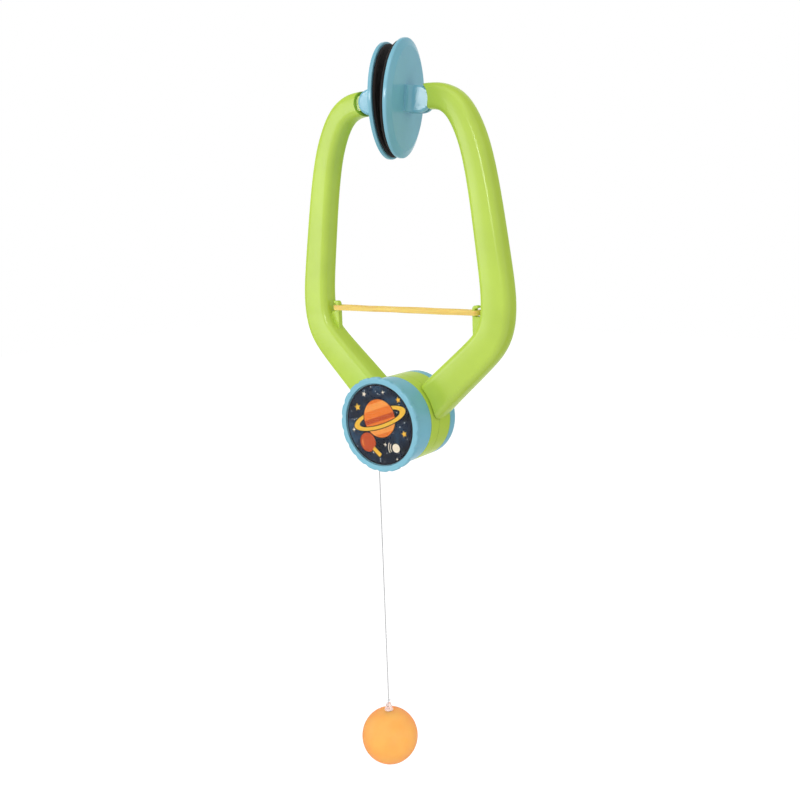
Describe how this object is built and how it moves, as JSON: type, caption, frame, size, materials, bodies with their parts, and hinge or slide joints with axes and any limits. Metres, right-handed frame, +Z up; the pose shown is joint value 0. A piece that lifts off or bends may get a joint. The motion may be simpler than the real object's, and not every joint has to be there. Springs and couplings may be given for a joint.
{
  "type": "hanging table tennis trainer",
  "caption": "Sprung clamp with round padded jaws that grips a door lintel, with a knob that winds a line carrying a table tennis ball to hit.",
  "frame": {"origin": "midway between the two clamp pads, where the lintel is gripped", "axes": "+Z up, -Y the way the dial faces, +X to the right as seen from the dial's side"},
  "size_m": [0.1714, 0.0874, 0.4989],
  "materials": {
    "green_plastic": "smooth moulded, semi-gloss",
    "blue_plastic": "smooth moulded, semi-gloss",
    "teal_plastic": "smooth moulded, semi-gloss",
    "black_foam": "matt closed-cell foam",
    "tan_rubber": "satin latex",
    "printed_card": "printed, behind a clear cover",
    "clear_plastic": "clear, polished",
    "orange_celluloid": "satin",
    "nylon": "moulded",
    "line_nylon": "clear monofilament",
    "zinc_steel": "zinc plated"
  },
  "bodies": {
    "hub": {"reel_housing": "teal_plastic", "back_cap": "blue_plastic", "axle_screw": "zinc_steel", "spring_washer": "zinc_steel", "slip_washer": "nylon"},
    "left_arm": {"left_arm": "green_plastic"},
    "right_arm": {"right_arm": "green_plastic"},
    "left_pad": {"left_pad_disc": "blue_plastic", "left_pad_pin": "zinc_steel", "left_pad_foam": "black_foam"},
    "right_pad": {"right_pad_disc": "blue_plastic", "right_pad_pin": "zinc_steel", "right_pad_foam": "black_foam"},
    "band_left": {"band_left_half": "tan_rubber"},
    "band_right": {"band_right_half": "tan_rubber"},
    "knob": {"winding_knob": "blue_plastic", "dial_disc": "printed_card", "dial_lens": "clear_plastic", "line_spool": "nylon", "line_winding": "line_nylon"},
    "line": {"hanging_line": "line_nylon"},
    "ball": {"ball": "orange_celluloid", "ball_eyelet": "clear_plastic", "line_knot": "line_nylon"}
  },
  "joints": [
    {"name": "arm_open", "type": "hinge", "parent": "hub", "child": "left_arm", "pos_m": [0, 0, -0.21], "axis": [0, -1, 0], "range_deg": [0, 18], "stiffness_Nm_per_rad": 1, "springref_deg": -22.92},
    {"name": "right_arm_open", "type": "hinge", "parent": "hub", "child": "right_arm", "pos_m": [0, 0, -0.21], "axis": [0, 1, 0], "range_deg": [0, 18]},
    {"name": "left_pad_tilt", "type": "hinge", "parent": "left_arm", "child": "left_pad", "pos_m": [-0.0197, 0, 0.001], "axis": [-0.299, 0.9542, 0], "range_deg": [0, 18]},
    {"name": "right_pad_tilt", "type": "hinge", "parent": "right_arm", "child": "right_pad", "pos_m": [0.0197, 0, -0.0008], "axis": [0.299, -0.9542, 0], "range_deg": [0, 18]},
    {"name": "band_left_swing", "type": "hinge", "parent": "left_arm", "child": "band_left", "pos_m": [-0.0573, 0, -0.1361], "axis": [0, 1, 0], "range_deg": [0, 18]},
    {"name": "band_stretch", "type": "slide", "parent": "band_left", "child": "band_right", "axis": [1, 0, 0], "range_m": [0, 0.0406], "deforming": ["band_left_half", "band_right_half"]},
    {"name": "knob_wind", "type": "hinge", "parent": "hub", "child": "knob", "pos_m": [0, 0, -0.21], "axis": [0, 1, 0], "range_deg": [-1440, 630]},
    {"name": "line_swing", "type": "hinge", "parent": "hub", "child": "line", "pos_m": [-0.004, -0.0283, -0.2415], "axis": [1, 0, 0], "range_deg": [-40, 40]},
    {"name": "ball_height", "type": "slide", "parent": "line", "child": "ball", "axis": [0, 0, 1], "range_m": [-0.352, 0.155], "deforming": ["hanging_line"]}
  ],
  "couplings": [
    {"joint": "right_arm_open", "follows": "arm_open", "ratio": 1},
    {"joint": "left_pad_tilt", "follows": "arm_open", "ratio": 0.9542},
    {"joint": "right_pad_tilt", "follows": "arm_open", "ratio": 0.9542},
    {"joint": "band_left_swing", "follows": "arm_open", "ratio": 1},
    {"joint": "band_stretch", "follows": "arm_open", "m_per_rad": 0.12753},
    {"joint": "ball_height", "follows": "knob_wind", "m_per_rad": 0.014}
  ]
}
